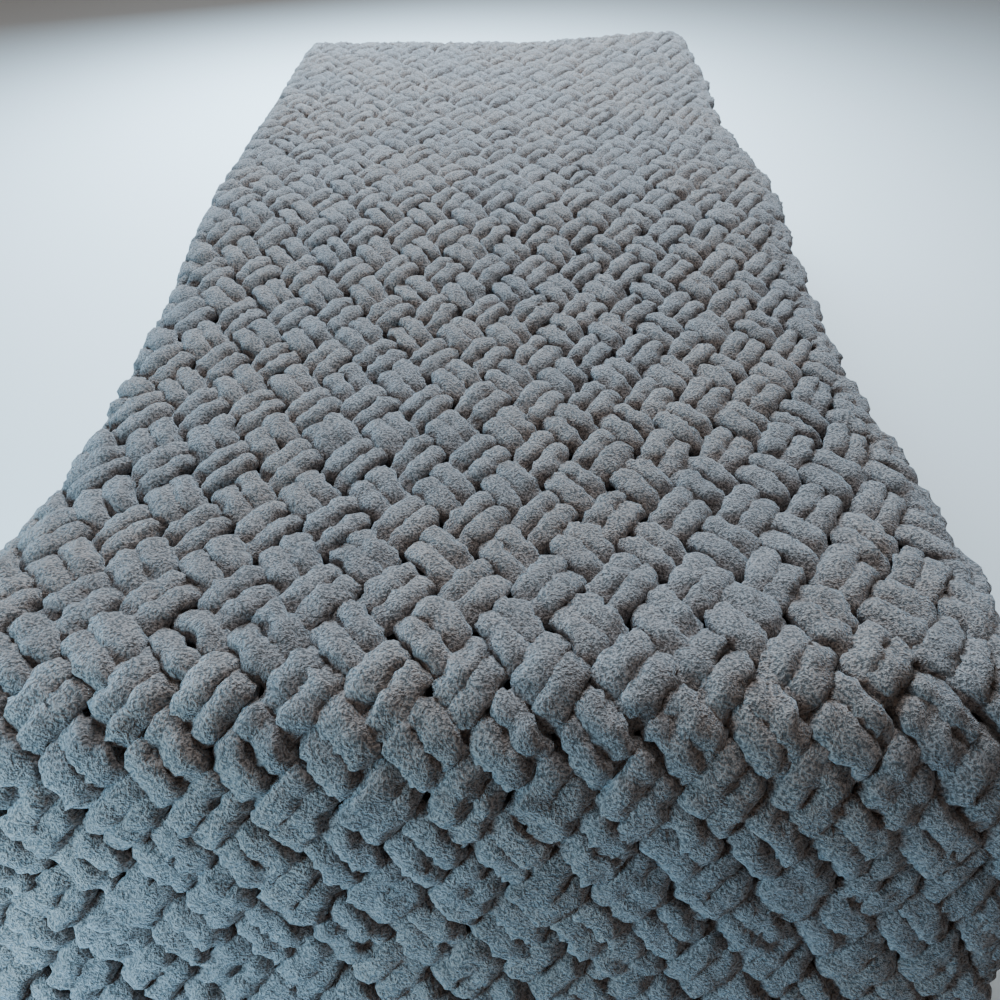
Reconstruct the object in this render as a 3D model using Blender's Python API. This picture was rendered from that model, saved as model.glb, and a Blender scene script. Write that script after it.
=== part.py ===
"""Chunky knit blanket lying on a mattress and falling over its foot end.

Metres, +Z up. +X is the sleeper's side to the right, +Y runs to the far end, and the blanket falls over the
foot end towards -Y. The origin is the centre of the mattress's underside.

The blanket is worked flat first. A flat place is (u, v): u counts cable pitches across, v counts rows of bars
from the far hem. Each bar fills a rhombus that reaches half a pitch to either side and one row up and down, and
carries two plump strands side by side. Rows of bars that lean right and rows that lean left take turns, so the
bars look woven. The flat place is then carried onto the mattress along one side profile.
"""
import math

import bmesh
import bpy
import numpy as np

# The knit
PITCH = 0.066               # one cable of four very thick stitches, across
ROW = 0.672 * PITCH         # one row of bars, lengthwise
BARS_ACROSS = 14
ROWS = 46
LEFT_EDGE_U = -7.25         # in pitches from the middle of the view
PIT_HEIGHT = 0.010          # heights above the blanket's underside
SIDE_HEIGHT = 0.020
GROOVE_HEIGHT = 0.0225
CREST_HEIGHT = 0.028
MIDDLE_HEIGHT = 0.016       # rows keep their spacing here, so the underside is bunched in a bend
HEM_HEIGHT = 0.014
LOOP_HEIGHT = 0.024
RIGHT_LOOP_IN = 0.17        # how far the turned loops stay inside the bars' tips, in pitches
LEFT_LOOP_IN = 0.07
LOOP_CREST_IN = 0.27        # where those loops are thickest, in pitches from the bars' tips
HEM_BUMP = 0.16             # how far the hem's loops stand past its row line, in rows
HEM_CREST_IN = 0.3          # where those are thickest, in rows from the row line

# How the blanket lies: (row from the far hem, slope of the cloth there in degrees, falling towards the foot)
SLOPES = ((-3, 0.0), (13, 0.0), (17, -1.5), (21, 8.5), (25, 4.5), (29, 0.5), (32, 0.5), (34.5, -9.0),
          (36.5, -4.0), (38, 40.0), (39.5, 61.0), (41, 64.0), (44, 60.0), (47, 48.0))
# (row, how many rows the cloth slips towards the far end for each pitch to the right)
SLANTS = ((0, 0.0), (20, 0.0), (26, 0.05), (32, 0.075), (38, 0.075), (41, 0.03), (44, 0.02))
# (row, how far the lattice sways to the right, in pitches)
SWAYS = ((0, 0.10), (17, 0.10), (27, -0.05), (34, -0.11), (44, -0.15))
# (row, how much the lattice is drawn in, as a share of its width)
WIDTHS = ((0, 0.99), (18, 0.99), (21, 0.975), (29, 0.975), (32, 1.02), (35, 1.02), (37, 0.985), (40, 1.01),
          (44, 1.01))
BORDER_U = 5.75             # right of here the border bars are drawn in
BORDER_SQUEEZE = 0.2
WAIST_ROW, WAIST_REACH = 11.5, 6.0   # the right edge is drawn in most at this row, over this many rows
WAIST_DEPTH = 0.35
WAIST_START_U = 3.0
STEPS_PER_ROW = 16          # fine steps in which the side profile is added up
FAN_ROWS = 1.0              # the far hem reaches this much further at its right corner
FAN_DEPTH = 14.0            # over these rows the fan dies out
FAN_START_U = 0.5
CURL = 0.010                # the far right corner curls up this high

# How the two long edges turn down past the mattress
LEFT_TURN_U = -6.27
LEFT_TURN_LENGTH = 0.6 * PITCH
LEFT_TURN_DEG = 80.0
LEFT_FREE_DEG = 25.0        # near the foot the left edge hangs more freely
LEFT_FREE_FROM, LEFT_FREE_TO = 28.0, 34.0
TURN_WIDTH = 1.75           # the strip of bars that lies on the left edge's turn, in pitches
RIGHT_TURN_U = 5.95
RIGHT_TURN_LENGTH = 0.5 * PITCH
RIGHT_TURN_DEG = 15.0

# The mattress
HEM_CLEARANCE = 0.034       # the near hem's middle lies this high above what the mattress stands on
MATTRESS_LEFT_U, MATTRESS_RIGHT_U = -6.63, 5.90
VIEW_TO_CENTRE = -(MATTRESS_LEFT_U + MATTRESS_RIGHT_U) / 2
FAR_END_ROW = 0.55
EDGE_RADIUS = 0.040         # the rounding of its far and right edges
LEFT_EDGE_RADIUS = 0.042    # softer under the turned-down border
REST_GAP = 0.0004           # cloth at rest on the top
EDGE_GAP = 0.0026           # cloth where it passes over an edge
EDGE_GAP_FROM, EDGE_GAP_TO = 33.0, 35.0
FLAT_ROW, CURVED_FROM_ROW = 7, 13    # one station does for the flat far half, then one for each row
FOOT_ROW = 44                        # below this row the mattress's foot end drops straight down
ROUNDING_STEPS = 3
TOP_COLUMNS = 6

KNIT_COLOUR = (0.235, 0.262, 0.292, 1.0)
TICKING_COLOUR = (0.62, 0.62, 0.60, 1.0)


def clear_scene():
    for old in list(bpy.data.objects):
        bpy.data.objects.remove(old, do_unlink=True)


def material(name, colour, roughness):
    made = bpy.data.materials.new(name)
    made.use_nodes = True
    shader = made.node_tree.nodes["Principled BSDF"]
    shader.inputs["Base Color"].default_value = colour
    shader.inputs["Roughness"].default_value = roughness
    shader.inputs["Metallic"].default_value = 0.0
    return made


def table_value(table, row):
    rows, values = zip(*table)
    return float(np.interp(row, rows, values))


def ramp(value, start, end):
    """0 before start, 1 after end, smooth between."""
    t = min(max((value - start) / (end - start), 0.0), 1.0)
    return t * t * (3.0 - 2.0 * t)


class SideProfile:
    """The line that the cloth's middle follows from the far hem to the near one, seen from the side.

    The slope is a straight line between the rows of SLOPES, and the line is the sum of short steps down it.
    """

    def __init__(self):
        first, last = SLOPES[0][0], SLOPES[-1][0]
        steps = int(round((last - first) * STEPS_PER_ROW))
        self.rows = np.linspace(first, last, steps + 1)
        middles = (self.rows[1:] + self.rows[:-1]) / 2
        slopes = np.radians(np.interp(middles, *zip(*SLOPES)))
        step = ROW / STEPS_PER_ROW
        self.y = -np.concatenate([[0.0], np.cumsum(step * np.cos(slopes))])
        self.z = -np.concatenate([[0.0], np.cumsum(step * np.sin(slopes))])
        self.z += HEM_CLEARANCE - np.interp(ROWS, self.rows, self.z)
        far, near = self.place(FAR_END_ROW, -REST_GAP)[0], self.place(FOOT_ROW, -EDGE_GAP)[0]
        self.y -= (far + near) / 2

    def place(self, row, height=0.0):
        """A point this high above the cloth's underside at this row, and the cloth's normal there."""
        slope = math.radians(table_value(SLOPES, row))
        normal = (-math.sin(slope), math.cos(slope))
        lift = height - MIDDLE_HEIGHT
        y = float(np.interp(row, self.rows, self.y)) + lift * normal[0]
        z = float(np.interp(row, self.rows, self.z)) + lift * normal[1]
        return y, z, normal


def slipped_row(u, v):
    """The row of the side profile where the flat place (u, v) lands."""
    slant = table_value(SLANTS, v) * u
    fan = FAN_ROWS * ramp(u, FAN_START_U, RIGHT_TURN_U) * max(0.0, 1.0 - v / FAN_DEPTH)
    return v - slant - fan


def drawn_in(u, v):
    """Where the flat place (u, v) lies across, in pitches from the middle of the view."""
    squeezed = u - BORDER_SQUEEZE * max(0.0, u - BORDER_U)
    waist = WAIST_DEPTH * ramp(abs(v - WAIST_ROW), WAIST_REACH, 0.0) * ramp(u, WAIST_START_U, BORDER_U)
    return squeezed * table_value(WIDTHS, v) + table_value(SWAYS, v) - waist


def turned_edge(past, full_angle, length):
    """A strip that bends evenly to full_angle over length and then runs straight: out, down, angle."""
    if past <= 0.0:
        return past, 0.0, 0.0
    radius = length / full_angle
    angle = full_angle * min(past, length) / length
    out = radius * math.sin(angle)
    down = radius * (1.0 - math.cos(angle))
    straight = max(past - length, 0.0)
    return out + straight * math.cos(angle), down + straight * math.sin(angle), angle


class Drape:
    """Carries a flat place and a height above the cloth's underside to its place in the room."""

    def __init__(self, profile):
        self.profile = profile

    def place(self, u, v, height=0.0):
        across = drawn_in(u, v)
        y, z, (normal_y, normal_z) = self.profile.place(slipped_row(u, v))
        if across < 0.0:
            free = ramp(v, LEFT_FREE_FROM, LEFT_FREE_TO)
            full = math.radians(LEFT_TURN_DEG + (LEFT_FREE_DEG - LEFT_TURN_DEG) * free)
            out, down, angle = turned_edge((LEFT_TURN_U - across) * PITCH, full, LEFT_TURN_LENGTH)
            x, side = LEFT_TURN_U * PITCH - out, -1.0
        else:
            full = math.radians(RIGHT_TURN_DEG)
            out, down, angle = turned_edge((across - RIGHT_TURN_U) * PITCH, full, RIGHT_TURN_LENGTH)
            x, side = RIGHT_TURN_U * PITCH + out, 1.0
        curl = CURL * ramp(u, FAN_START_U, RIGHT_TURN_U) * max(0.0, 1.0 - v / FAN_DEPTH) ** 2
        along_normal = curl - down + height * math.cos(angle)
        return (x + side * height * math.sin(angle) + VIEW_TO_CENTRE * PITCH,
                y + along_normal * normal_y,
                z + along_normal * normal_z)


class Knit:
    """The blanket's closed mesh: raised bars above, a plain underside, and a rim between the two."""

    def __init__(self, drape):
        self.drape = drape
        self.mesh = bmesh.new()
        self.top, self.under = {}, {}

    def vertex(self, store, u, v, height):
        key = (round(u * 1000), round(v * 1000))
        if key not in store:
            store[key] = self.mesh.verts.new(self.drape.place(u, v, height))
        return store[key]

    def upper(self, u, v, height):
        return self.vertex(self.top, u, v, height)

    def lower(self, u, v):
        return self.vertex(self.under, u, v, 0.0)

    def fan_top(self, outline, crest):
        """Triangles from one raised point to an outline that runs clockwise seen from above."""
        for first, second in zip(outline, outline[1:] + outline[:1]):
            self.mesh.faces.new((crest, second, first))

    def bar(self, u, row, lean):
        """One rhombus with two strands side by side. lean is 1 for a bar that leans right, -1 for left."""
        far, near = self.upper(u, row - 1, PIT_HEIGHT), self.upper(u, row + 1, PIT_HEIGHT)
        back, front = self.upper(u - lean / 2, row, PIT_HEIGHT), self.upper(u + lean / 2, row, PIT_HEIGHT)
        side_a = self.upper(u - lean / 4, row - 0.5, SIDE_HEIGHT)
        side_b = self.upper(u + lean / 4, row + 0.5, SIDE_HEIGHT)
        end_a = self.upper(u + lean / 4, row - 0.5, SIDE_HEIGHT)
        end_b = self.upper(u - lean / 4, row + 0.5, SIDE_HEIGHT)
        groove = self.upper(u, row, GROOVE_HEIGHT)
        crest_a = self.upper(u - lean / 8, row - 0.25, CREST_HEIGHT)
        crest_b = self.upper(u + lean / 8, row + 0.25, CREST_HEIGHT)
        around_a = [back, side_a, far, end_a, groove, end_b]
        around_b = [front, side_b, near, end_b, groove, end_a]
        if lean < 0:
            around_a.reverse()
            around_b.reverse()
        self.fan_top(around_a, crest_a)
        self.fan_top(around_b, crest_b)
        left, right = self.lower(u - 0.5, row), self.lower(u + 0.5, row)
        if on_the_turn(u):
            middle = self.lower(u, row)
            self.mesh.faces.new((left, self.lower(u, row - 1), middle))
            self.mesh.faces.new((middle, self.lower(u, row - 1), right))
            self.mesh.faces.new((left, middle, self.lower(u, row + 1)))
            self.mesh.faces.new((middle, right, self.lower(u, row + 1)))
        else:
            self.mesh.faces.new((left, self.lower(u, row - 1), right))
            self.mesh.faces.new((left, right, self.lower(u, row + 1)))

    def edge_loop(self, side, row, loop_in):
        """The strands turn back between two bars at a long edge: side is 1 at the right, -1 at the left."""
        tip = LEFT_EDGE_U + BARS_ACROSS if side > 0 else LEFT_EDGE_U
        inner = tip - side / 2
        loop = tip - side * loop_in
        shoulder = tip - side * loop_in / 4
        outline = [self.upper(inner, row, PIT_HEIGHT),
                   self.upper(tip - side / 4, row - 0.5, SIDE_HEIGHT),
                   self.upper(tip, row - 1, PIT_HEIGHT),
                   self.upper(shoulder, row - 0.5, HEM_HEIGHT),
                   self.upper(loop, row, HEM_HEIGHT),
                   self.upper(shoulder, row + 0.5, HEM_HEIGHT),
                   self.upper(tip, row + 1, PIT_HEIGHT),
                   self.upper(tip - side / 4, row + 0.5, SIDE_HEIGHT)]
        rim = [(tip, row - 1), (shoulder, row - 0.5), (loop, row), (shoulder, row + 0.5), (tip, row + 1)]
        if side < 0:
            outline.reverse()
            rim.reverse()
        self.fan_top(outline, self.upper(tip - side * LOOP_CREST_IN, row, LOOP_HEIGHT))
        below = [self.lower(inner, row)] + [self.lower(*place) for place in rim]
        for first, second in zip(below[1:], below[2:]):
            self.mesh.faces.new((below[0], first, second))
        self.rim_wall(rim)

    def hem_loop(self, u, row, end):
        """Half a bar at a hem, rounded outwards: end is -1 at the far hem, 1 at the near one."""
        bump = (u, row + end * HEM_BUMP)
        outline = [self.upper(u - 0.5, row, PIT_HEIGHT),
                   self.upper(*bump, HEM_HEIGHT),
                   self.upper(u + 0.5, row, PIT_HEIGHT),
                   self.upper(u + 0.25, row - end * 0.5, SIDE_HEIGHT),
                   self.upper(u, row - end, PIT_HEIGHT),
                   self.upper(u - 0.25, row - end * 0.5, SIDE_HEIGHT)]
        rim = [(u + 0.5, row), bump, (u - 0.5, row)]
        if end > 0:
            outline.reverse()
            rim.reverse()
        self.fan_top(outline, self.upper(u, row - end * HEM_CREST_IN, LOOP_HEIGHT))
        below = [self.lower(*place) for place in rim]
        inner = self.lower(u, row - end)
        if on_the_turn(u):
            self.mesh.faces.new((inner, self.lower(u, row), below[2]))
            self.mesh.faces.new((inner, below[0], self.lower(u, row)))
            self.mesh.faces.new((self.lower(u, row), below[0], below[1]))
            self.mesh.faces.new((self.lower(u, row), below[1], below[2]))
        else:
            self.mesh.faces.new((inner, below[0], below[2]))
            self.mesh.faces.new((below[0], below[1], below[2]))
        self.rim_wall(rim)

    def rim_wall(self, places):
        """Joins the top's edge to the underside's edge along these flat places."""
        for first, second in zip(places, places[1:]):
            quad = (self.upper(*first, HEM_HEIGHT), self.upper(*second, HEM_HEIGHT),
                    self.lower(*second), self.lower(*first))
            self.mesh.faces.new(quad)


def on_the_turn(u):
    """True for the bars that lie on the left edge's turn, which need one more fold line below."""
    return u < LEFT_EDGE_U + TURN_WIDTH


def make_blanket(profile):
    knit = Knit(Drape(profile))
    for row in range(1, ROWS):
        inset = row % 2
        lean = 1 if inset else -1
        for bar in range(BARS_ACROSS - inset):
            knit.bar(LEFT_EDGE_U + 0.5 * (1 + inset) + bar, row, lean)
        if inset:
            knit.edge_loop(1, row, RIGHT_LOOP_IN)
            knit.edge_loop(-1, row, LEFT_LOOP_IN)
    for bar in range(BARS_ACROSS):
        centre = LEFT_EDGE_U + 0.5 + bar
        knit.hem_loop(centre, 0, -1)
        knit.hem_loop(centre, ROWS, 1)
    bmesh.ops.recalc_face_normals(knit.mesh, faces=knit.mesh.faces)
    return add_object("blanket", knit.mesh, material("chenille_yarn", KNIT_COLOUR, 0.95))


def mattress_stations(profile, x):
    """The mattress's outline from the side at one x, from the far foot of its wall round to the near one.

    Each station is (y, z, outward normal). The top follows the cloth's rows, a gap below it.
    """
    across = x / PITCH
    top = []
    for row in [FAR_END_ROW, FLAT_ROW] + list(range(CURVED_FROM_ROW, FOOT_ROW + 1)):
        u = (across - table_value(SWAYS, row)) / table_value(WIDTHS, row)
        gap = REST_GAP + (EDGE_GAP - REST_GAP) * ramp(row, EDGE_GAP_FROM, EDGE_GAP_TO)
        top.append(profile.place(slipped_row(u, row) if row > FLAT_ROW else row, -gap))
    far_y, far_z, _ = top[0]
    stations = [(far_y, 0.0, (1.0, 0.0)), (far_y, far_z - EDGE_RADIUS, (1.0, 0.0))]
    for step in range(1, ROUNDING_STEPS + 1):
        angle = math.pi / 2 * step / ROUNDING_STEPS
        stations.append((far_y - EDGE_RADIUS * (1 - math.cos(angle)),
                         far_z - EDGE_RADIUS * (1 - math.sin(angle)),
                         (math.cos(angle), math.sin(angle))))
    stations += top[1:]
    stations.append((top[-1][0], 0.0, (-1.0, 0.0)))
    return stations


def rounded_columns(edge, inward, radius):
    """Columns from a long wall up round its edge: (x, how deep the edge lies below the top there)."""
    angles = [math.pi / 2 * step / ROUNDING_STEPS for step in range(ROUNDING_STEPS + 1)]
    return [(edge + inward * radius * (1 - math.cos(a)), radius * (1 - math.sin(a))) for a in angles]


def mattress_columns():
    """(x, depth below the top) across the mattress, from left to right."""
    left = rounded_columns(MATTRESS_LEFT_U * PITCH, 1, LEFT_EDGE_RADIUS)
    right = rounded_columns(MATTRESS_RIGHT_U * PITCH, -1, EDGE_RADIUS)
    start, end = left[-1][0], right[-1][0]
    middle = [(start + (end - start) * step / TOP_COLUMNS, 0.0) for step in range(1, TOP_COLUMNS)]
    return left + middle + right[::-1]


def make_mattress(profile):
    mesh = bmesh.new()
    grid = []
    for x, down in mattress_columns():
        line = []
        for y, z, normal in mattress_stations(profile, x):
            line.append(mesh.verts.new((x + VIEW_TO_CENTRE * PITCH, y - down * normal[0], z - down * normal[1])))
        grid.append(line)
    for left, right in zip(grid, grid[1:]):
        for first in range(len(left) - 1):
            mesh.faces.new((left[first], left[first + 1], right[first + 1], right[first]))
    mesh.faces.new(grid[0])
    mesh.faces.new(list(reversed(grid[-1])))
    mesh.faces.new([line[0] for line in grid] + [line[-1] for line in reversed(grid)])
    bmesh.ops.recalc_face_normals(mesh, faces=mesh.faces)
    return add_object("mattress", mesh, material("ticking", TICKING_COLOUR, 0.85))


def add_object(name, mesh, finish):
    data = bpy.data.meshes.new(name)
    mesh.to_mesh(data)
    mesh.free()
    data.materials.append(finish)
    made = bpy.data.objects.new(name, data)
    bpy.context.collection.objects.link(made)
    return made


def main():
    clear_scene()
    profile = SideProfile()
    make_blanket(profile)
    make_mattress(profile)


main()
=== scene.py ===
# %% [markdown]
# # A very thick knit blanket on a mattress
# The blanket is worked from a plush chenille yarn about 2 cm thick. Every bar of the pattern is two
# strands lying side by side, and each bar dives under its neighbours at both ends, so the cloth looks
# woven. The imported solids are loaded first: they say where the blanket and the mattress lie, and
# everything here is built around them.

# %% Load the frame
import math

import bpy
import numpy as np
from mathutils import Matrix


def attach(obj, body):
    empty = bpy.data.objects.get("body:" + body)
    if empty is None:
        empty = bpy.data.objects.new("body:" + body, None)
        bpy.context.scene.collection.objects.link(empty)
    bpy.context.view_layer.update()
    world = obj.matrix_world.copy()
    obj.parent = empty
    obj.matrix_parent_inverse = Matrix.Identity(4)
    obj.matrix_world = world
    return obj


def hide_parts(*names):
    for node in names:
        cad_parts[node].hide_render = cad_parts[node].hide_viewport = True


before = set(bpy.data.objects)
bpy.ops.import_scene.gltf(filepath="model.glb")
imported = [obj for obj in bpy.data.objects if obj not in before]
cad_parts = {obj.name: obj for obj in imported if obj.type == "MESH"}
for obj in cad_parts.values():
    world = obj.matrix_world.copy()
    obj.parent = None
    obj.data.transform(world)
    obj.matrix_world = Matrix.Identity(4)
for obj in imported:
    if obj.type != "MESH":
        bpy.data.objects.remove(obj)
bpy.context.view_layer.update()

# %% [markdown]
# ## The flat knit and its sizes
# A knit is easiest to think of flat. A flat place is (u, v): u counts cable pitches to the right, and v
# counts rows of bars from the far hem. Row by row the bars lean right and left in turn. Each bar fills a
# rhombus that reaches half a pitch to both sides and one row up and down. The same named sizes made the
# solids.

# %% Sizes of the flat knit
PITCH = 0.066
ROW = 0.672 * PITCH
BARS_ACROSS = 14
ROWS = 46
LEFT_EDGE_U = -7.25
RIGHT_EDGE_U = LEFT_EDGE_U + BARS_ACROSS
print("flat size", BARS_ACROSS * PITCH, ROWS * ROW)

# %% [markdown]
# ## How the cloth lies
# Seen from the side, the cloth follows one line: flat at the far end, a shallow dip and swell where the
# bedding under it is uneven, and then over the foot of the mattress. A simulated cloth would find its own
# folds and miss the ones in the picture, so the slope is given row by row instead, and the line is the
# running sum of short steps down that slope. numpy does this for all rows at once with cumsum.

# %% The line from the far hem to the near one
SLOPES = (
    (-3, 0.0), (13, 0.0), (17, -1.5), (21, 8.5), (25, 4.5), (29, 0.5), (32, 0.5),
    (34.5, -9.0), (36.5, -4.0), (38, 40.0), (39.5, 61.0), (41, 64.0), (44, 60.0), (47, 48.0),
)
STEPS_PER_ROW = 16
MIDDLE_HEIGHT = 0.016
HEM_CLEARANCE = 0.034
REST_GAP = 0.0004
EDGE_GAP = 0.0026
FAR_END_ROW = 0.55
FOOT_ROW = 44


def ramp(value, start, end):
    """0 before start, 1 past end, and between them 3t² - 2t³ of the share t of the way."""
    t = np.clip((value - start) / (end - start), 0.0, 1.0)
    return t * t * (3.0 - 2.0 * t)


def along(table, row):
    """The value at a row, on straight lines between the table's entries."""
    rows, values = zip(*table)
    return np.interp(row, rows, values)


steps = round((SLOPES[-1][0] - SLOPES[0][0]) * STEPS_PER_ROW)
line_rows = np.linspace(SLOPES[0][0], SLOPES[-1][0], steps + 1)
line_slopes = np.radians(along(SLOPES, (line_rows[1:] + line_rows[:-1]) / 2))
step_length = ROW / STEPS_PER_ROW
line_y = -np.concatenate([[0.0], np.cumsum(step_length * np.cos(line_slopes))])
line_z = -np.concatenate([[0.0], np.cumsum(step_length * np.sin(line_slopes))])
line_z += HEM_CLEARANCE - np.interp(ROWS, line_rows, line_z)


def side_line(row, height):
    """y and z this high above the cloth's underside, and the cloth's normal (normal_y, normal_z) there.

    The line of the cloth's middle at the row, moved along the normal by height less the middle's height.
    """
    slope = np.radians(along(SLOPES, row))
    normal_y, normal_z = -np.sin(slope), np.cos(slope)
    lift = height - MIDDLE_HEIGHT
    y = np.interp(row, line_rows, line_y) + lift * normal_y
    z = np.interp(row, line_rows, line_z) + lift * normal_z
    return y, z, normal_y, normal_z


line_y -= (side_line(FAR_END_ROW, -REST_GAP)[0] + side_line(FOOT_ROW, -EDGE_GAP)[0]) / 2
print("cloth middle runs from y", *np.interp([0, ROWS], line_rows, line_y))

# %% [markdown]
# ## From the flat knit to its place in the room
# The real cloth is pulled a little out of square: its rows slant to the right near the foot, its far
# right corner is fanned out and curls, its right edge is drawn in, and both long edges turn down past the
# mattress. Each of these is one small term. A flat place, and a height above the cloth's underside, go in
# as whole arrays and come out as points in the room, so anything that is worked flat can be laid on the
# bed with one call.

# %% Laying a flat place on the bed
SLANTS = ((0, 0.0), (20, 0.0), (26, 0.05), (32, 0.075), (38, 0.075), (41, 0.03), (44, 0.02))
SWAYS = ((0, 0.10), (17, 0.10), (27, -0.05), (34, -0.11), (44, -0.15))
WIDTHS = ((0, 0.99), (18, 0.99), (21, 0.975), (29, 0.975), (32, 1.02), (35, 1.02), (37, 0.985), (40, 1.01),
          (44, 1.01))
BORDER_U, BORDER_SQUEEZE = 5.75, 0.2
WAIST_ROW, WAIST_REACH, WAIST_DEPTH, WAIST_START_U = 11.5, 6.0, 0.35, 3.0
FAN_ROWS, FAN_DEPTH, FAN_START_U, CURL = 1.0, 14.0, 0.5, 0.010
LEFT_TURN_U, LEFT_TURN_LENGTH = -6.27, 0.6 * PITCH
LEFT_TURN_DEG, LEFT_FREE_DEG, LEFT_FREE_FROM, LEFT_FREE_TO = 80.0, 25.0, 28.0, 34.0
RIGHT_TURN_U, RIGHT_TURN_LENGTH, RIGHT_TURN_DEG = 5.95, 0.5 * PITCH, 15.0
MATTRESS_LEFT_U, MATTRESS_RIGHT_U = -6.63, 5.90
VIEW_TO_CENTRE = -(MATTRESS_LEFT_U + MATTRESS_RIGHT_U) / 2


def slipped_row(u, v):
    """The side line's row where (u, v) lands: v, less the slant times u, less the fan at the far right."""
    fan = FAN_ROWS * ramp(u, FAN_START_U, RIGHT_TURN_U) * np.maximum(0.0, 1.0 - v / FAN_DEPTH)
    return v - along(SLANTS, v) * u - fan


def drawn_in(u, v):
    """Where (u, v) lies across, in pitches: u squeezed at its border, scaled, swayed, less the waist."""
    squeezed = u - BORDER_SQUEEZE * np.maximum(0.0, u - BORDER_U)
    waist = ramp(np.abs(v - WAIST_ROW), WAIST_REACH, 0.0) * ramp(u, WAIST_START_U, BORDER_U)
    return squeezed * along(WIDTHS, v) + along(SWAYS, v) - WAIST_DEPTH * waist


def turned_edge(past, full_angle, length):
    """Out, down and angle of a strip that bends evenly to full_angle and then runs straight.

    On the bend out is r sin(angle) and down is r (1 - cos(angle)), with r the bend's length over the full
    angle.
    """
    radius = length / full_angle
    bent = np.clip(past, 0.0, length)
    angle = bent / radius
    straight = np.maximum(past - length, 0.0)
    out = np.minimum(past, 0.0) + radius * np.sin(angle) + straight * np.cos(angle)
    down = radius * (1.0 - np.cos(angle)) + straight * np.sin(angle)
    return out, down, angle


def drape(u, v, height):
    """Points in the room for flat places (u, v) at a height above the cloth's underside.

    Across, the place runs along a level line that turns down at each long edge. Lengthwise it follows
    the side line. The height is measured along the normal of both bends.
    """
    across = drawn_in(u, v)
    y, z, normal_y, normal_z = side_line(slipped_row(u, v), 0.0)
    on_left = across < 0.0
    free = ramp(v, LEFT_FREE_FROM, LEFT_FREE_TO)
    left_angle = np.radians(LEFT_TURN_DEG + (LEFT_FREE_DEG - LEFT_TURN_DEG) * free)
    left = turned_edge((LEFT_TURN_U - across) * PITCH, left_angle, LEFT_TURN_LENGTH)
    right = turned_edge((across - RIGHT_TURN_U) * PITCH, np.radians(RIGHT_TURN_DEG), RIGHT_TURN_LENGTH)
    out, down, angle = (np.where(on_left, a, b) for a, b in zip(left, right))
    side = np.where(on_left, -1.0, 1.0)
    x = np.where(on_left, LEFT_TURN_U, RIGHT_TURN_U) * PITCH + side * (out + height * np.sin(angle))
    curl = CURL * ramp(u, FAN_START_U, RIGHT_TURN_U) * np.maximum(0.0, 1.0 - v / FAN_DEPTH) ** 2
    lift = curl - down + height * np.cos(angle)
    return np.stack([x + VIEW_TO_CENTRE * PITCH, y + lift * normal_y, z + lift * normal_z], axis=-1)


corners = drape(np.array([LEFT_EDGE_U, RIGHT_EDGE_U]), np.array([0.0, ROWS]), np.zeros(2))
print("far left and near right corners", corners.round(3).tolist())

# %% [markdown]
# ## The camera
# The rows of pits run straight away from the camera, so it looks along +Y. How fast the rows crowd
# together towards the far end gives its pitch and its height, measured in cable pitches from the far hem,
# and the width of a cable near and far gives the lens.

# %% Camera
CAMERA_BACK = 28.67 * PITCH
CAMERA_UP = 7.18 * PITCH
CAMERA_PITCH_DEG = 47.8
FOCAL_PX, IMAGE_PX, SENSOR_MM = 680, 1000, 36.0

hem_y, hem_z, _, _ = side_line(0.0, MIDDLE_HEIGHT)
camera_data = bpy.data.cameras.new("camera")
camera_data.sensor_width = SENSOR_MM
camera_data.lens = SENSOR_MM * FOCAL_PX / IMAGE_PX
camera = bpy.data.objects.new("camera", camera_data)
camera.location = (VIEW_TO_CENTRE * PITCH, hem_y - CAMERA_BACK, hem_z + CAMERA_UP)
camera.rotation_euler = (math.radians(90.0 - CAMERA_PITCH_DEG), 0.0, 0.0)
bpy.context.collection.objects.link(camera)
bpy.context.scene.camera = camera
print("camera at", tuple(round(c, 3) for c in camera.location), "lens", round(camera_data.lens, 2))

# %% [markdown]
# ## Meshes from arrays
# Every new piece is a surface over a grid of points, so one helper turns arrays into a Blender mesh. It
# takes the corners of all faces as one flat list and where each face starts in it, which foreach_set
# copies in one go.

# %% From arrays to an object
def mesh_object(name, points, corners_of_faces, face_sizes):
    """A smooth-shaded object from points (n, 3), all faces' corners in one array, and each face's size."""
    mesh = bpy.data.meshes.new(name)
    mesh.vertices.add(len(points))
    mesh.vertices.foreach_set("co", np.asarray(points, np.float32).ravel())
    mesh.loops.add(len(corners_of_faces))
    mesh.loops.foreach_set("vertex_index", np.asarray(corners_of_faces, np.int32))
    mesh.polygons.add(len(face_sizes))
    starts = np.concatenate([[0], np.cumsum(face_sizes)[:-1]])
    mesh.polygons.foreach_set("loop_start", starts.astype(np.int32))
    mesh.update(calc_edges=True)
    mesh.validate()
    mesh.polygons.foreach_set("use_smooth", np.ones(len(mesh.polygons), bool))
    made = bpy.data.objects.new(name, mesh)
    bpy.context.collection.objects.link(made)
    triangles = int(np.sum(np.asarray(face_sizes) - 2))
    print(name, "has", triangles, "triangles")
    return made


def keep_on_points(piece, name, values):
    """Stores one number for each point of the mesh, for the material to read."""
    kept = piece.data.attributes.new(name, "FLOAT", "POINT")
    kept.data.foreach_set("value", values.astype(np.float32).ravel())


# %% [markdown]
# ## A strand of yarn
# One strand is a plump tube with round closed ends. It could be a curve with a bevel, but a tube from
# arrays lets every ring have its own width and lets hundreds of strands be made in one sum. At each point
# of the path, the sideways direction is level and square to the path, and the upward one is square to
# both. The ring is an ellipse in those two directions. Its size follows a half circle near the ends,
# where it closes in one point.

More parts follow.
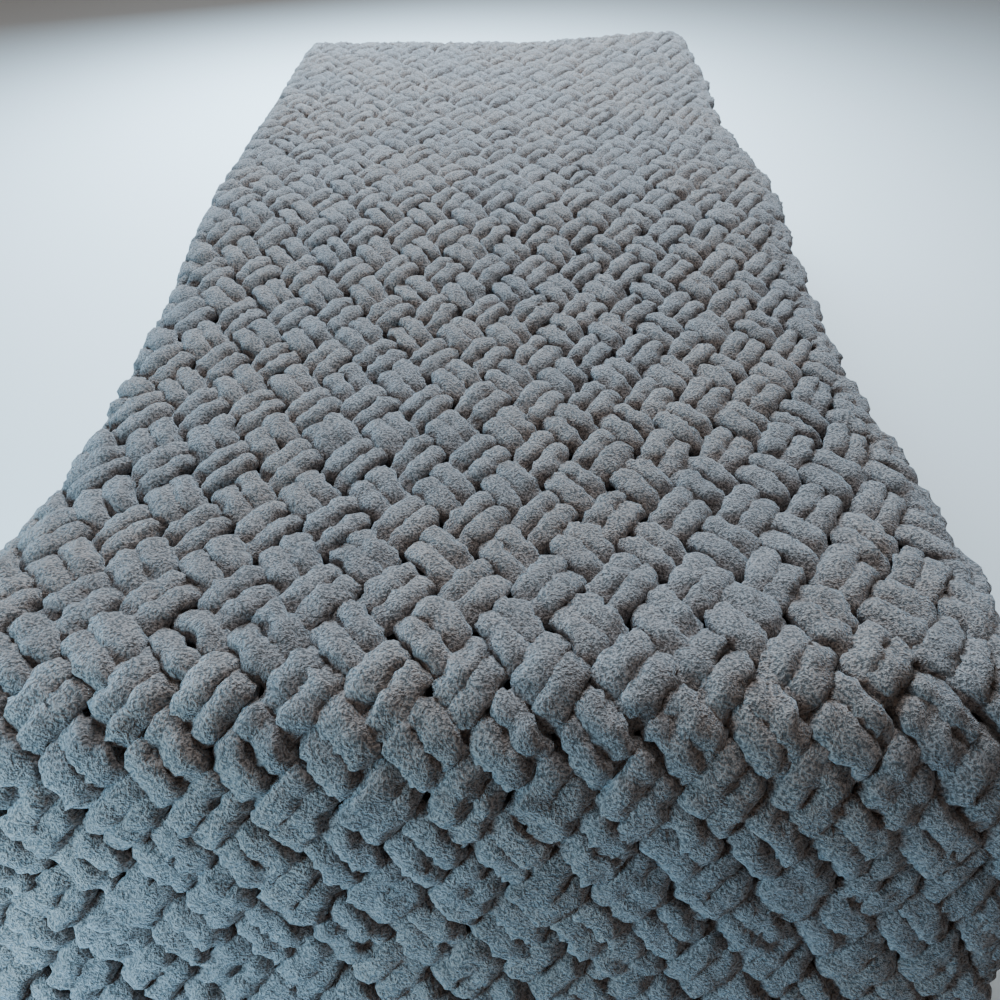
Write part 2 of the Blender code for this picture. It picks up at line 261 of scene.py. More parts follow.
# %% Tubes along flat paths
AROUND = 15
SQUARENESS = 0.92  # 1 is an ellipse; less makes the ring's sides fuller
SHORTEST_LUMP, LONGEST_LUMP, LUMP_WAVES = 0.008, 0.024, 14
TUFT_HEIGHT, TUFT_SEED = 0.0005, 100
REST_HEIGHT = 0.0003
UP = np.array([0.0, 0.0, 1.0])


def unit(vectors):
    return vectors / np.linalg.norm(vectors, axis=-1, keepdims=True)


def lumps(points, seed):
    """Smooth lumps, about 1 high: waves in random directions, of random lengths, summed."""
    draw = np.random.default_rng(seed)
    directions = unit(draw.normal(size=(LUMP_WAVES, 3)))
    lengths = draw.uniform(SHORTEST_LUMP, LONGEST_LUMP, LUMP_WAVES)
    phases = draw.uniform(0.0, 2.0 * np.pi, LUMP_WAVES)
    total = np.zeros(points.shape[:-1])
    for direction, length, phase in zip(directions, lengths, phases):
        total += np.sin(points @ direction * (2.0 * np.pi / length) + phase)
    return total * math.sqrt(2.0 / LUMP_WAVES)


def rings(path, half_wide, half_high, ends, lump_height, seed):
    """Flat-knit points of the rings of many tubes: (tube, ring, around, 3), from paths (tube, ring, 3).

    A ring point is path + sideways × half width × cos + upward × half height × sin, and the ends' share
    scales both. Lumps of the given height then push the ring out, and each point has a random tuft too.
    """
    forward = unit(np.gradient(path, axis=1))
    sideways = unit(np.cross(forward, UP))
    upward = np.cross(sideways, forward)
    turn = 2.0 * np.pi * np.arange(AROUND) / AROUND
    level, rise = (np.sign(wave) * np.abs(wave) ** SQUARENESS for wave in (np.cos(turn), np.sin(turn)))
    out = (sideways[:, :, None] * (half_wide * ends)[..., None, None] * level[:, None]
           + upward[:, :, None] * (half_high * ends)[..., None, None] * rise[:, None])
    bare = path[:, :, None] + out
    swell = lump_height * lumps(bare, seed)
    swell += TUFT_HEIGHT * np.random.default_rng(seed + TUFT_SEED).normal(size=swell.shape)
    return bare + out * (swell / half_high[..., None])[..., None]


def tube_faces(tubes, ring_count, around):
    """Corners and sizes of all faces of tubes whose points are: first end, the rings in turn, last end."""
    ring = np.arange(ring_count)[:, None] * around + 1
    step = np.arange(around)
    after = (step + 1) % around
    a, b = ring[:-1] + step, ring[:-1] + after
    c, d = ring[1:] + after, ring[1:] + step
    quads = np.stack([a, b, c, d], axis=-1).reshape(-1, 4)
    last = 1 + ring_count * around
    first_fan = np.stack([np.zeros(around, int), 1 + after, 1 + step], axis=-1)
    last_ring = last - around
    last_fan = np.stack([np.full(around, last), last_ring + step, last_ring + after], axis=-1)
    one = np.concatenate([quads.ravel(), first_fan.ravel(), last_fan.ravel()])
    sizes = np.concatenate([np.full(len(quads), 4), np.full(2 * around, 3)])
    starts = np.arange(tubes)[:, None] * (last + 1)
    return (one[None] + starts).ravel(), np.tile(sizes, tubes)


def tubes_object(name, path, half_wide, half_high, ends, lump_height, seed, tone):
    """One mesh of closed tubes laid on the bed. The path's first and last points close the ends.

    Where a tube would reach below the cloth's underside it is pressed flat, as yarn is on a bed.
    """
    middle = rings(path, half_wide, half_high, ends, lump_height, seed)[:, 1:-1]
    count, ring_count = middle.shape[:2]
    flat = np.concatenate([path[:, :1], middle.reshape(count, -1, 3), path[:, -1:]], axis=1)
    flat[..., 2] = np.maximum(flat[..., 2], REST_HEIGHT)
    laid = drape(flat[..., 0] / PITCH, flat[..., 1] / ROW, flat[..., 2])
    faces, sizes = tube_faces(count, ring_count, AROUND)
    made = mesh_object(name, laid.reshape(-1, 3), faces, sizes)
    keep_on_points(made, "yarn_tone_and_shade", np.repeat(tone, flat.shape[1]))
    keep_on_points(made, "yarn_height", flat[..., 2])
    return made


# %% [markdown]
# ## The bars
# A bar's own direction A runs a quarter pitch sideways and half a row towards the far hem, and B is the
# same to the other side, so the rhombus's corners are plus and minus A plus and minus B. Two strands run
# along A, on either side of the middle. They arch: the far end slips under the neighbour's flank while
# still high, and the near end is blunt and plunges into the pit. Where the cloth bends over the foot the
# stitches open, so there the strands are plumper and their near ends stand out as lobes. Hand-knit
# stitches never match, so each strand is shifted, turned, bowed and fattened a little, from a seeded
# draw. A few bands of rows keep each mesh light.

# %% Bars of two strands
RINGS = 21
STRAND_HALF_WIDE = 0.0141
STRAND_HALF_HIGH = 0.0106
STRAND_APART = 0.455
DRAWN_TOGETHER = 0.13
DROOP = ((0, 0.0), (34, 0.0), (39, 0.0024), (46, 0.0024))
LOBE = ((0, 0.0), (33, 0.0), (39, 0.55), (46, 0.55))
PLUMP_FROM, PLUMP_TO, PLUMP_WIDE, PLUMP_HIGH = 33.0, 38.0, 0.14, 0.06
PLUMP_TOGETHER, PLUMP_LUMPS = 0.05, 0.5
FAR_REACH, FAR_CAP = 1.40, 0.90
NEAR_REACH, NEAR_CAP = 1.28, 0.58
CREST_CENTRE = 0.0187
FAR_SINK, FAR_SINK_FROM, FAR_SINK_TO = 0.0092, 0.45, 1.6
NEAR_SINK, NEAR_SINK_FROM, NEAR_SINK_TO = 0.0135, 0.25, 1.3
LUMP_HEIGHT = 0.0011
BAR_TURN_DEG, BAR_LIFT, BAR_SPREAD = 2.8, 0.0008, 0.020
STRAND_TURN_DEG, STRAND_SPREAD, STRAND_FATNESS, STRAND_BOW, STRAND_SHIFT = 2.0, 0.018, 0.06, 0.0015, 0.05
TONE_SPREAD = 0.05
BANDS = ((1, 9), (10, 18), (19, 27), (28, 36), (37, 45))


def strand_places(first_row, last_row):
    """u, v, lean and side of every strand in these rows. Odd rows have one bar less and lean right."""
    row, bar = np.meshgrid(np.arange(first_row, last_row + 1), np.arange(BARS_ACROSS), indexing="ij")
    inset = row % 2
    there = bar < BARS_ACROSS - inset
    row, bar, inset = row[there], bar[there], inset[there]
    u = LEFT_EDGE_U + 0.5 * (1 + inset) + bar
    lean = np.where(inset == 1, 1.0, -1.0)
    return np.tile(u, 2), np.tile(row, 2), np.tile(lean, 2), np.repeat([1.0, -1.0], len(u))


def round_ends(reach, share, cap):
    """1 along the middle, then a half circle's height over the last cap: the root of 1 - e²."""
    e = np.clip((np.abs(share) - (reach - cap)) / cap, 0.0, 1.0)
    return np.sqrt(1.0 - e * e)


def bar_band(name, first_row, last_row):
    """One mesh of all strands in a band of rows."""
    draw = np.random.default_rng(first_row)
    u, v, lean, side = strand_places(first_row, last_row)
    count = len(u)
    bar_yaw = np.tile(draw.normal(0.0, math.radians(BAR_TURN_DEG), count // 2), 2)
    bar_lift = np.tile(draw.normal(0.0, BAR_LIFT, count // 2), 2)
    bar_apart = np.tile(draw.normal(0.0, BAR_SPREAD, count // 2), 2)
    yaw = bar_yaw + draw.normal(0.0, math.radians(STRAND_TURN_DEG), count)
    plump = ramp(v, PLUMP_FROM, PLUMP_TO)
    together = PLUMP_TOGETHER * plump * (lean * u < 0.0)
    beta = side * (STRAND_APART + bar_apart - together + draw.normal(0.0, STRAND_SPREAD, count))
    fat = 1.0 + draw.normal(0.0, STRAND_FATNESS, count)
    bow = draw.normal(0.0, STRAND_BOW, count)
    alpha = np.sin(np.linspace(-0.5, 0.5, RINGS + 2) * np.pi)
    far_end = alpha > 0.0
    reach = np.where(far_end, FAR_REACH, NEAR_REACH)
    cap = np.where(far_end, FAR_CAP, NEAR_CAP)
    alpha = alpha * reach
    shift = draw.normal(0.0, STRAND_SHIFT, count)
    along_x, along_y = lean * PITCH / 4, np.full(count, -ROW / 2)
    turned_x = along_x * np.cos(yaw) - along_y * np.sin(yaw)
    turned_y = along_x * np.sin(yaw) + along_y * np.cos(yaw)
    length = np.hypot(turned_x, turned_y)
    apart = beta[:, None] * (1.0 - DRAWN_TOGETHER * alpha ** 2)
    bend = bow[:, None] * (1.0 - alpha ** 2)
    ahead = alpha + shift[:, None]
    x = (u * PITCH)[:, None] - apart * along_x[:, None] + ahead * turned_x[:, None]
    y = (v * ROW)[:, None] + apart * along_y[:, None] + ahead * turned_y[:, None]
    x = x + bend * (turned_y / length)[:, None]
    y = y - bend * (turned_x / length)[:, None]
    far_sink = FAR_SINK * ramp(alpha, FAR_SINK_FROM, FAR_SINK_TO)
    near_sink = NEAR_SINK * ramp(-alpha, NEAR_SINK_FROM, NEAR_SINK_TO)
    sink = far_sink + near_sink * (1.0 - along(LOBE, v)[:, None])
    z = CREST_CENTRE + bar_lift[:, None] * np.cos(alpha) - sink - along(DROOP, v)[:, None] * alpha
    path = np.stack([x, y, z], axis=-1)
    lump_height = LUMP_HEIGHT * (1.0 + PLUMP_LUMPS * plump)[:, None, None]
    ends = round_ends(reach, alpha, cap) * np.ones((count, 1))
    wide = STRAND_HALF_WIDE * (fat * (1.0 + PLUMP_WIDE * plump))[:, None] * np.ones_like(alpha)
    plump_high = (0.5 + 0.5 * fat) * (1.0 + PLUMP_HIGH * plump)
    high = STRAND_HALF_HIGH * plump_high[:, None] * np.ones_like(alpha)
    tone = 1.0 + draw.normal(0.0, TONE_SPREAD, count)
    return tubes_object(name, path, wide, high, ends, lump_height, first_row, tone)


bands = [bar_band(f"knit_bars_{rows[0]:02d}_{rows[1]:02d}", *rows) for rows in BANDS]

# %% [markdown]
# ## The turned loops
# At a long edge the two strands of a bar turn back and run on as the next row's bar: an outer loop and an
# inner one. The same happens along both hems. Seen flat each loop is an arc of a wide ellipse, high in
# the middle and sinking at both ends under the bars beside it. The left edge is the right edge turned
# half round, and so is the near hem of the far one, so one table of four arcs makes them all.

# %% Loops along the edges and hems
EDGE_LOOP_ROWS = np.arange(1, ROWS, 2)
HEM_CENTRES = LEFT_EDGE_U + 0.5 + np.arange(BARS_ACROSS)
LOOP_RINGS = 19
LOOP_SPAN_DEG = 100.0
LOOP_SINK_FROM, LOOP_SINK_TO = 0.4, 1.05
LOOP_CENTRE_HEIGHT, LOOP_END_HEIGHT = 0.0155, 0.0072
LOOP_SEED, LOOP_OFF, LOOP_FATNESS, LOOP_SLIMMER, LOOP_CAP = 7, 0.0012, 0.05, 0.95, 0.25
EDGE_ARCS = ((-0.47, 0.05, 0.36, 0.78), (-0.56, 0.0, 0.25, 0.40))
HEM_ARCS = ((0.0, 0.68, 0.33, 0.52), (0.0, 0.98, 0.13, 0.42))

loop_share = np.linspace(-1.0, 1.0, LOOP_RINGS + 2)


def loop_arcs(arcs, at_u, at_v, half_turn, towards_hem):
    """Paths (loop, ring, 3) of elliptic arcs (middle u, middle v, u radius, v radius) beside each place.

    An edge arc bulges to +u and a hem arc to -v. half_turn is 1, or -1 to turn the arc half round its
    place.
    """
    angle = np.radians(LOOP_SPAN_DEG) * loop_share
    bulge, run = np.cos(angle), np.sin(angle)
    sunk = ramp(np.abs(loop_share), LOOP_SINK_FROM, LOOP_SINK_TO)
    z = LOOP_CENTRE_HEIGHT - (LOOP_CENTRE_HEIGHT - LOOP_END_HEIGHT) * sunk
    paths = []
    for middle_u, middle_v, radius_u, radius_v in arcs:
        du = middle_u + radius_u * (run if towards_hem else bulge)
        dv = middle_v + radius_v * (-bulge if towards_hem else run)
        u = at_u[:, None] + half_turn[:, None] * du
        v = at_v[:, None] + half_turn[:, None] * dv
        paths.append(np.stack([u * PITCH, v * ROW, np.broadcast_to(z, u.shape)], axis=-1))
    return np.concatenate(paths)


edge_u = np.repeat([RIGHT_EDGE_U, LEFT_EDGE_U], len(EDGE_LOOP_ROWS))
edge_v = np.tile(EDGE_LOOP_ROWS, 2).astype(float)
edge_paths = loop_arcs(EDGE_ARCS, edge_u, edge_v, np.repeat([1.0, -1.0], len(EDGE_LOOP_ROWS)), False)
hem_u = np.tile(HEM_CENTRES, 2)
hem_v = np.repeat([0.0, float(ROWS)], BARS_ACROSS)
hem_paths = loop_arcs(HEM_ARCS, hem_u, hem_v, np.repeat([1.0, -1.0], BARS_ACROSS), True)
loop_paths = np.concatenate([edge_paths, hem_paths])
loop_count = len(loop_paths)
loop_draw = np.random.default_rng(LOOP_SEED)
loop_paths[..., :2] += loop_draw.normal(0.0, LOOP_OFF, (loop_count, 1, 2))
loop_ends = round_ends(1.0, loop_share, LOOP_CAP) * np.ones((loop_count, 1))
loop_fat = 1.0 + loop_draw.normal(0.0, LOOP_FATNESS, (loop_count, 1)) * np.ones_like(loop_share)
loop_tone = 1.0 + loop_draw.normal(0.0, TONE_SPREAD, loop_count)
loops = tubes_object("knit_loops", loop_paths, STRAND_HALF_WIDE * LOOP_SLIMMER * loop_fat,
                     STRAND_HALF_HIGH * loop_fat, loop_ends, LUMP_HEIGHT, LOOP_SEED, loop_tone)

# %% [markdown]
# ## The back of the knit
# Under the bars lies the back of the cloth, where the strands pass behind one another. Only its dark
# hollows show through the pits, and its edge and underside show from low down, so it is one sheet: a grid
# over the flat knit whose height rises and falls with the bars, given its thickness by a Solidify
# modifier.

# %% The back sheet
SHEET_STEPS_PER_PITCH = 4
SHEET_STEPS_PER_ROW = 3
SHEET_HEIGHT = 0.0062
SHEET_WAVE = 0.0016
SHEET_THICK = 0.0035
SHEET_IN_U, SHEET_IN_V = 0.30, 0.35
# the back is the same yarn; this darker tone is a painted shade, as the back lies under the bars
SHEET_SHADE_TONE = 0.45

steps_u = round((BARS_ACROSS - 2 * SHEET_IN_U) * SHEET_STEPS_PER_PITCH)
steps_v = round((ROWS - 2 * SHEET_IN_V) * SHEET_STEPS_PER_ROW)
sheet_u = np.linspace(LEFT_EDGE_U + SHEET_IN_U, RIGHT_EDGE_U - SHEET_IN_U, steps_u + 1)
sheet_v = np.linspace(SHEET_IN_V, ROWS - SHEET_IN_V, steps_v + 1)
grid_u, grid_v = np.meshgrid(sheet_u, sheet_v)
wave = np.cos(2 * np.pi * (grid_u - LEFT_EDGE_U)) * np.cos(np.pi * grid_v)
sheet_height = SHEET_HEIGHT - SHEET_WAVE * wave
sheet_points = drape(grid_u, grid_v, sheet_height)
across = len(sheet_u)
corner = (np.arange(len(sheet_v) - 1)[:, None] * across + np.arange(across - 1)).ravel()
sheet_faces = np.stack([corner + across, corner + across + 1, corner + 1, corner], axis=-1)
sheet_sizes = np.full(len(sheet_faces), 4)
back = mesh_object("knit_back", sheet_points.reshape(-1, 3), sheet_faces.ravel(), sheet_sizes)
keep_on_points(back, "yarn_tone_and_shade", np.full(grid_u.size, SHEET_SHADE_TONE))
keep_on_points(back, "yarn_height", sheet_height)
solidify = back.modifiers.new("thickness", "SOLIDIFY")
solidify.thickness = SHEET_THICK
solidify.offset = -1.0

# %% [markdown]
# ## The mattress
# None of the mattress shows in the picture, so it is a plain one: a block with soft edges whose top
# carries the cloth, in a plain woven cover that is sewn with a thin piping round its top and its bottom.
# It is one closed surface, a ring carried from the far end to the foot. The ring is a rounded rectangle:
# each of its points says how far across and how far up it lies, and how far the rounding moves it. At
# both ends the rings draw in round the edge and close on the end wall. The piping is a small ridge pushed
# out along the surface's own normals.

# %% Mattress
TOP_RADIUS = 0.040
BASE_RADIUS = 0.012
FOOT_RADIUS = 0.008
EDGE_GAP_FROM, EDGE_GAP_TO = 33.0, 35.0
FLAT_ROW = 7
PIPING_DOWN, PIPING_HALF, PIPING_HEIGHT = 0.008, 0.005, 0.003
PIPING_STEPS = np.array([0.003, 0.0045, 0.0062, 0.008, 0.0098, 0.0115, 0.013])
BASE_SHARES = (0.5, 0.35, 0.2, 0.08)
WALL_SHARES = (0.15, 0.3, 0.5, 0.7, 0.85)
TOP_SHARES = (0.12, 0.2, 0.28, 0.36, 0.43)
END_SHARES = (0.9, 0.6, 0.3)
END_WALL_IN = 0.02
BODY_ROW_STEP, BODY_FROM_FAR, BODY_FROM_FOOT = 0.5, 1.0, 0.8
SKIN_IN = 0.0006
NO_LENGTH = 1e-12  # keeps a zero direction from being divided by zero
MATTRESS_LEFT, MATTRESS_RIGHT = MATTRESS_LEFT_U * PITCH, MATTRESS_RIGHT_U * PITCH
QUARTER = np.linspace(0.0, np.pi / 2, 7)


def half_ring():
    """Half the ring, from the base's middle out, up a side and in to the top's middle.

    Each row is (share across, share up, metres inwards, metres up).
    """
    base = [(share, 0.0, 0.0, 0.0) for share in BASE_SHARES]
    base += [(0.0, 0.0, BASE_RADIUS * (1 - np.sin(t)), BASE_RADIUS * (1 - np.cos(t))) for t in QUARTER]
    base += [(0.0, 0.0, 0.0, BASE_RADIUS + step) for step in PIPING_STEPS]
    low, high = BASE_RADIUS + PIPING_STEPS[-1], TOP_RADIUS + PIPING_STEPS[-1]
    wall = [(0.0, share, 0.0, low * (1.0 - share) - high * share) for share in WALL_SHARES]
    top = [(0.0, 1.0, 0.0, -TOP_RADIUS - step) for step in PIPING_STEPS[::-1]]
    top += [(0.0, 1.0, TOP_RADIUS * (1 - np.cos(t)), -TOP_RADIUS * (1 - np.sin(t))) for t in QUARTER]
    top += [(share, 1.0, 0.0, 0.0) for share in TOP_SHARES]
    return np.array(base + wall + top)


def mattress_rings():
    """Row, shift towards the far end, draw-in and size of every ring, from the far wall to the foot's."""
    rows = np.arange(FAR_END_ROW + BODY_FROM_FAR, FOOT_ROW - BODY_FROM_FOOT, BODY_ROW_STEP)
    far = [(FAR_END_ROW, 0.0, TOP_RADIUS + END_WALL_IN, size) for size in END_SHARES[::-1]]
    far += [(FAR_END_ROW, 0.0, TOP_RADIUS + step, 1.0) for step in PIPING_STEPS[::-1]]
    far += [(FAR_END_ROW, -TOP_RADIUS * (1 - np.sin(t)), TOP_RADIUS * (1 - np.cos(t)), 1.0)
            for t in QUARTER[::-1]]
    body = [(row, 0.0, 0.0, 1.0) for row in rows]
    foot = [(FOOT_ROW, FOOT_RADIUS * (1 - np.sin(t)), FOOT_RADIUS * (1 - np.cos(t)), 1.0) for t in QUARTER]
    foot += [(FOOT_ROW, 0.0, FOOT_RADIUS, size) for size in END_SHARES]
    return np.array(far + body + foot)


def mattress_surface():
    """Points (ring, around, 3): the ring's rectangle between the mattress's sides, its base and the cloth.

    The rings are turned round at the end, so that tube_faces gives faces that point outwards.
    """
    half = half_ring()
    mirrored = half[-2:0:-1] * [-1.0, 1.0, -1.0, 1.0] + [1.0, 0.0, 0.0, 0.0]
    share, up, inwards, rise = np.concatenate([half, mirrored]).T
    row, shift, draw_in, size = (column[:, None] for column in mattress_rings().T)
    left, right = MATTRESS_LEFT + SKIN_IN + draw_in, MATTRESS_RIGHT - SKIN_IN - draw_in
    x = left + (right - left) * share + inwards
    u = (x / PITCH - along(SWAYS, row)) / along(WIDTHS, row)
    gap = REST_GAP + (EDGE_GAP - REST_GAP) * ramp(row, EDGE_GAP_FROM, EDGE_GAP_TO)
    line_row = np.where(row > FLAT_ROW, slipped_row(u, row), row)
    y, top, _, _ = side_line(line_row, -gap)
    base = np.minimum(draw_in, BASE_RADIUS) + np.maximum(draw_in - TOP_RADIUS, 0.0)
    z = base + (top - draw_in - base) * up + rise
    middle_x, middle_z = (left + right) / 2, top / 2
    x = middle_x + (x - middle_x) * size
    z = middle_z + (z - middle_z) * size
    points = np.stack([x + VIEW_TO_CENTRE * PITCH, y + shift, z], axis=-1)
    past_roundings = top - TOP_RADIUS - z, z - BASE_RADIUS
    ridge = sum(np.clip(1.0 - ((past - PIPING_DOWN) / PIPING_HALF) ** 2, 0.0, 1.0) for past in past_roundings)
    downwards = np.gradient(points, axis=0)
    around = np.roll(points, -1, axis=1) - np.roll(points, 1, axis=1)
    outwards = unit(np.cross(downwards, around) + NO_LENGTH)
    return (points + outwards * (PIPING_HEIGHT * np.sqrt(ridge))[..., None])[:, ::-1]


cover = mattress_surface()
ring_count, around_count = cover.shape[:2]
far_middle, foot_middle = cover[:1].mean(axis=1), cover[-1:].mean(axis=1)
cover_points = np.concatenate([far_middle, cover.reshape(-1, 3), foot_middle])
cover_faces, cover_sizes = tube_faces(1, ring_count, around_count)
mattress = mesh_object("mattress_cover", cover_points, cover_faces, cover_sizes)
print("mattress from", cover_points.min(axis=0).round(3), "to", cover_points.max(axis=0).round(3))

# %% [markdown]
# ## Shader sums
# Materials are graphs of nodes. Written one node at a time they are hard to read, so a socket is wrapped
# in a small class that knows plus and times, and `0.7 * noise` adds the Math node for it. Every other
# node comes from one method: its type, its settings, and the values or links of its sockets.

# %% A socket that can be added and multiplied
class Amount:
    """A number that varies over the surface: a socket of a material's graph."""

    def __init__(self, finish, socket):
        self.finish, self.socket = finish, socket

    def sum(self, operation, first, second):
        made = self.finish.node("ShaderNodeMath", {"operation": operation}, {0: first, 1: second})
        return Amount(self.finish, made.outputs[0])

    def __add__(self, other):
        return self.sum("ADD", self, other)

    def __rmul__(self, number):
        return self.sum("MULTIPLY", self, number)


class Finish:
    """A material's node graph, with one method that makes any node."""

    def __init__(self, name):
        self.material = bpy.data.materials.new(name)
        self.material.use_nodes = True
        self.tree = self.material.node_tree
        self.tree.nodes.clear()

    def node(self, kind, settings=None, sockets=None):
        made = self.tree.nodes.new(kind)
        for name, value in (settings or {}).items():
            setattr(made, name, value)
        for name, value in (sockets or {}).items():
            if isinstance(value, Amount):
                self.tree.links.new(value.socket, made.inputs[name])
            else:
                made.inputs[name].default_value = value
        return made

    def amount(self, kind, output, settings=None, sockets=None):
        return Amount(self, self.node(kind, settings, sockets).outputs[output])

    def stepped(self, value, low, high):
        """0 below low, 1 above high, smooth between."""
        return self.amount("ShaderNodeMapRange", "Result", {"interpolation_type": "SMOOTHSTEP"},
                           {"Value": value, "From Min": low, "From Max": high})

    def mixed(self, factor, first, second):
        """A colour between two, by a factor."""
        mixer = self.node("ShaderNodeMix", {"data_type": "RGBA"})
        for socket, value in ((mixer.inputs[0], factor), (mixer.inputs[6], first), (mixer.inputs[7], second)):
            if isinstance(value, Amount):
                self.tree.links.new(value.socket, socket)
            else:
                socket.default_value = value
        return Amount(self, mixer.outputs[2])

    def noise(self, place, size, detail=2.0, roughness=0.5):
        """Noise from 0 to 1 whose largest features are about this size in metres."""
        return self.amount("ShaderNodeTexNoise", "Fac", None, {
            "Vector": place, "Scale": 1.0 / size, "Detail": detail, "Roughness": roughness})


# %% [markdown]
# ## The chenille yarn
# Chenille is short pile standing out of a core thread, so it has almost no gloss and a soft light rim
# where the pile is seen edge on. The pile clumps into tufts of 2 to 3 mm with shaded gaps between. One
# rough noise gives the tufts and a broader one the clumps, and both drive the bump, because real loops of
# pile would take millions of faces. The tufts also set the colour, between a painted shade for the gaps
# and the grey of the fibre. That grey drifts between a warm and a cool one over a hand's width, as dyed
# yarn does. The sheen of the shader gives the light rim. Deep in the pits the pile sees little light, so
# a painted shade makes the colour fall off with the height kept on the mesh.

# %% Chenille material
WARM_YARN = (0.386, 0.300, 0.262, 1.0)
COOL_YARN = (0.362, 0.301, 0.281, 1.0)
# a painted shade for the dark gaps between the tufts of pile
TUFT_GAP_SHADE = (0.094, 0.079, 0.073, 1.0)
# a painted shade for yarn lying deep in the pits
PIT_SHADE = (0.020, 0.021, 0.023, 1.0)
TUFT_SIZE = 0.0024
CLUMP_SIZE = 0.016
PATCH_SIZE = 0.18
PILE_HEIGHT = 0.0056
TUFT_SHARE = 0.72
PATCH_FROM, PATCH_TO = 0.40, 0.60
TUFT_DARK, TUFT_LIGHT = 0.37, 0.62
PIT_SHADE_BOTTOM, PIT_SHADE_TOP = 0.001, 0.0165

yarn = Finish("chenille_yarn_finish")
place = yarn.amount("ShaderNodeTexCoord", "Object")
tuft = yarn.noise(place, TUFT_SIZE, 2.0, 0.7)
clump = yarn.noise(place, CLUMP_SIZE, 1.0)
pile = TUFT_SHARE * tuft + (1.0 - TUFT_SHARE) * clump
patch = yarn.noise(place, PATCH_SIZE, 1.0)
tone = yarn.amount("ShaderNodeAttribute", "Fac", {"attribute_name": "yarn_tone_and_shade"})
height = yarn.amount("ShaderNodeAttribute", "Fac", {"attribute_name": "yarn_height"})
fibre = yarn.mixed(yarn.stepped(patch, PATCH_FROM, PATCH_TO), COOL_YARN, WARM_YARN)
# painted shade in the gaps between tufts, mixed with the fibre's grey by the tuft noise
tufts_and_gap_shade = yarn.mixed(yarn.stepped(tuft, TUFT_DARK, TUFT_LIGHT), TUFT_GAP_SHADE, fibre)
# the tone attribute is random dye variation on the strands and a painted shade on the back sheet
toned_and_shaded = yarn.amount("ShaderNodeVectorMath", "Vector", {"operation": "SCALE"}, {0: tufts_and_gap_shade, "Scale": tone})
# painted shade: the lower the yarn lies in a pit, the more of the pit's dark colour it takes
above_pit_shade = yarn.stepped(height, PIT_SHADE_BOTTOM, PIT_SHADE_TOP)
colour = yarn.mixed(above_pit_shade, PIT_SHADE, toned_and_shaded)
relief = yarn.amount("ShaderNodeBump", "Normal", None, {
    "Height": pile, "Distance": PILE_HEIGHT, "Strength": 1.0})
shader = yarn.node("ShaderNodeBsdfPrincipled", None, {
    "Base Color": colour, "Normal": relief, "Roughness": 0.95, "Specular IOR Level": 0.15,
    "Sheen Weight": 0.45, "Sheen Roughness": 0.45, "Sheen Tint": (0.80, 0.88, 0.96, 1.0)})
surface = yarn.node("ShaderNodeOutputMaterial")
yarn.tree.links.new(shader.outputs[0], surface.inputs["Surface"])

knit_pieces = bands + [loops, back]
for piece in knit_pieces:
    piece.data.materials.append(yarn.material)
    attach(piece, "root")
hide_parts("blanket")
print("knit pieces", [piece.name for piece in knit_pieces])

# %% [markdown]
# ## The cover of the mattress
# Ticking is a dense plain cotton weave: matt, off-white, a little uneven in tone where threads are
# thicker, with soft wrinkles where it is sewn. Threads finer than a pixel would only flicker, so the
# weave is a fine noise in the bump and the wrinkles a broad one.

# %% Ticking material
TICKING_LIGHT = (0.66, 0.66, 0.64, 1.0)
TICKING_DARK = (0.56, 0.56, 0.54, 1.0)
THREAD_SIZE, WRINKLE_SIZE, WRINKLE_HEIGHT = 0.0014, 0.05, 0.0035

ticking = Finish("ticking_finish")
cloth_place = ticking.amount("ShaderNodeTexCoord", "Object")
thread = ticking.noise(cloth_place, THREAD_SIZE, 1.0)
wrinkle = ticking.noise(cloth_place, WRINKLE_SIZE, 2.0)
uneven = ticking.stepped(0.6 * thread + 0.4 * wrinkle, 0.35, 0.65)
weave_colour = ticking.mixed(uneven, TICKING_DARK, TICKING_LIGHT)
weave_relief = ticking.amount("ShaderNodeBump", "Normal", None, {
    "Height": 0.25 * thread + 0.75 * wrinkle, "Distance": WRINKLE_HEIGHT, "Strength": 0.8})
weave = ticking.node("ShaderNodeBsdfPrincipled", None, {
    "Base Color": weave_colour, "Normal": weave_relief, "Roughness": 0.85, "Specular IOR Level": 0.25,
    "Sheen Weight": 0.15, "Sheen Roughness": 0.6})
weave_surface = ticking.node("ShaderNodeOutputMaterial")
ticking.tree.links.new(weave.outputs[0], weave_surface.inputs["Surface"])
mattress.data.materials.append(ticking.material)
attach(mattress, "root")
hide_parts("mattress")

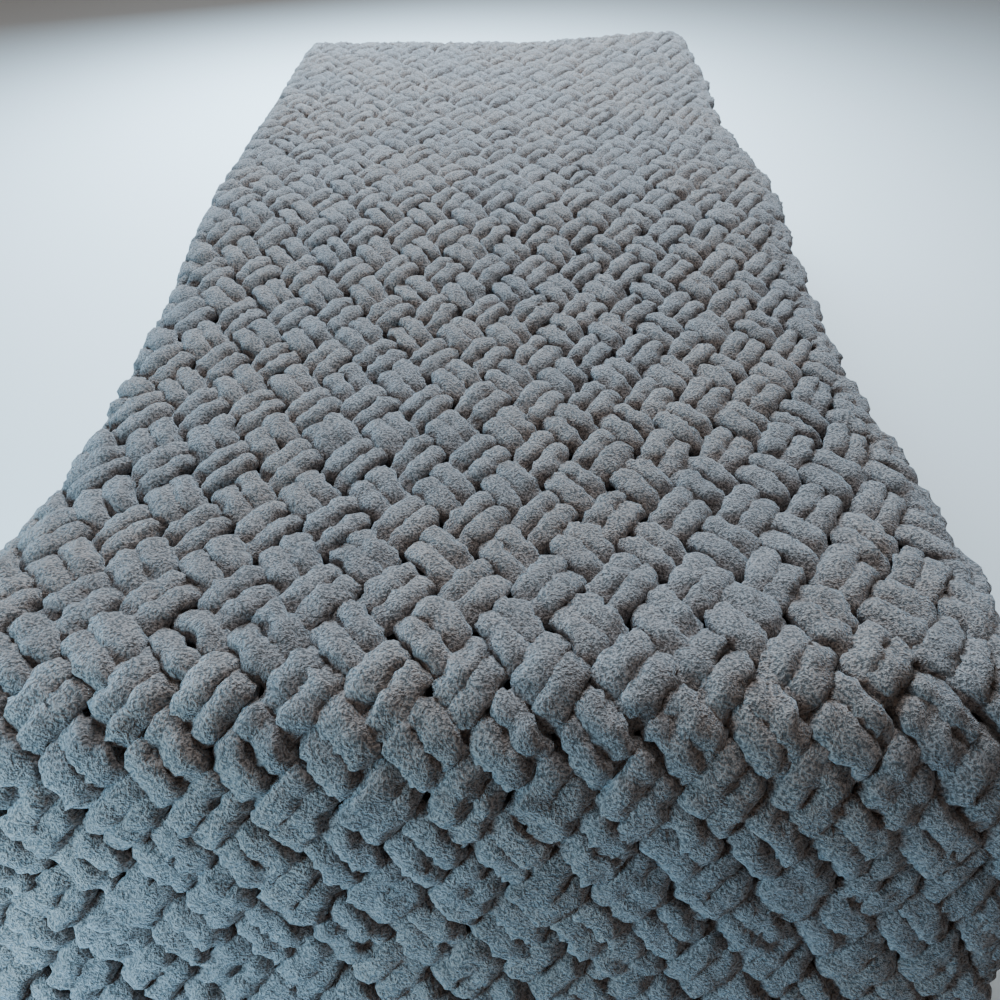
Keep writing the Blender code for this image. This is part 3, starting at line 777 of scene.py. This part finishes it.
# %% [markdown]
# ## Floor and light
# The floor is plain and pale. The light is a studio's: a broad cool one beyond the far end, like a
# window, a softer one above the far half, and a small blue one low by the foot's left corner. So the far
# end is bright and bluish, the middle is a plain grey, and the foot falls darker except on its left.

# %% Floor and lights
FLOOR_SIZE = 14.0

floor_mesh = bpy.data.meshes.new("floor")
half = FLOOR_SIZE / 2
floor_corners = [(-half, -half, 0), (half, -half, 0), (half, half, 0), (-half, half, 0)]
floor_mesh.from_pydata(floor_corners, [], [(0, 1, 2, 3)])
floor = bpy.data.objects.new("floor", floor_mesh)
bpy.context.collection.objects.link(floor)
paint = Finish("floor_paint")
paint_shader = paint.node("ShaderNodeBsdfPrincipled", None, {
    "Base Color": (0.9, 0.9, 0.9, 1.0), "Roughness": 0.9})
paint_surface = paint.node("ShaderNodeOutputMaterial")
paint.tree.links.new(paint_shader.outputs[0], paint_surface.inputs["Surface"])
floor_mesh.materials.append(paint.material)

world = bpy.data.worlds.new("studio")
world.use_nodes = True
background = world.node_tree.nodes["Background"]
background.inputs["Color"].default_value = (1.0, 0.89, 0.80, 1.0)
background.inputs["Strength"].default_value = 0.14
bpy.context.scene.world = world


def soft_light(name, place, target, size, watts, colour):
    """A square area light at a place, turned to face the target."""
    data = bpy.data.lights.new(name, "AREA")
    data.size, data.energy, data.color = size, watts, colour
    lamp = bpy.data.objects.new(name, data)
    lamp.location = place
    towards = np.array(target) - np.array(place)
    tilt = math.atan2(math.hypot(towards[0], towards[1]), -towards[2])
    heading = math.atan2(towards[1], towards[0]) - math.pi / 2
    lamp.rotation_euler = (tilt, 0.0, heading)
    bpy.context.collection.objects.link(lamp)


soft_light("window", (-0.5, 1.9, 1.6), (0.0, 0.6, 0.35), 1.5, 184.0, (0.52, 0.78, 1.0))
soft_light("side_window", (-0.85, -1.2, 0.45), (-0.4, -0.9, 0.1), 0.4, 17.0, (0.36, 0.72, 1.0))
soft_light("ceiling", (0.1, 0.95, 2.2), (0.0, 0.6, 0.35), 1.0, 47.0, (0.82, 0.93, 1.0))
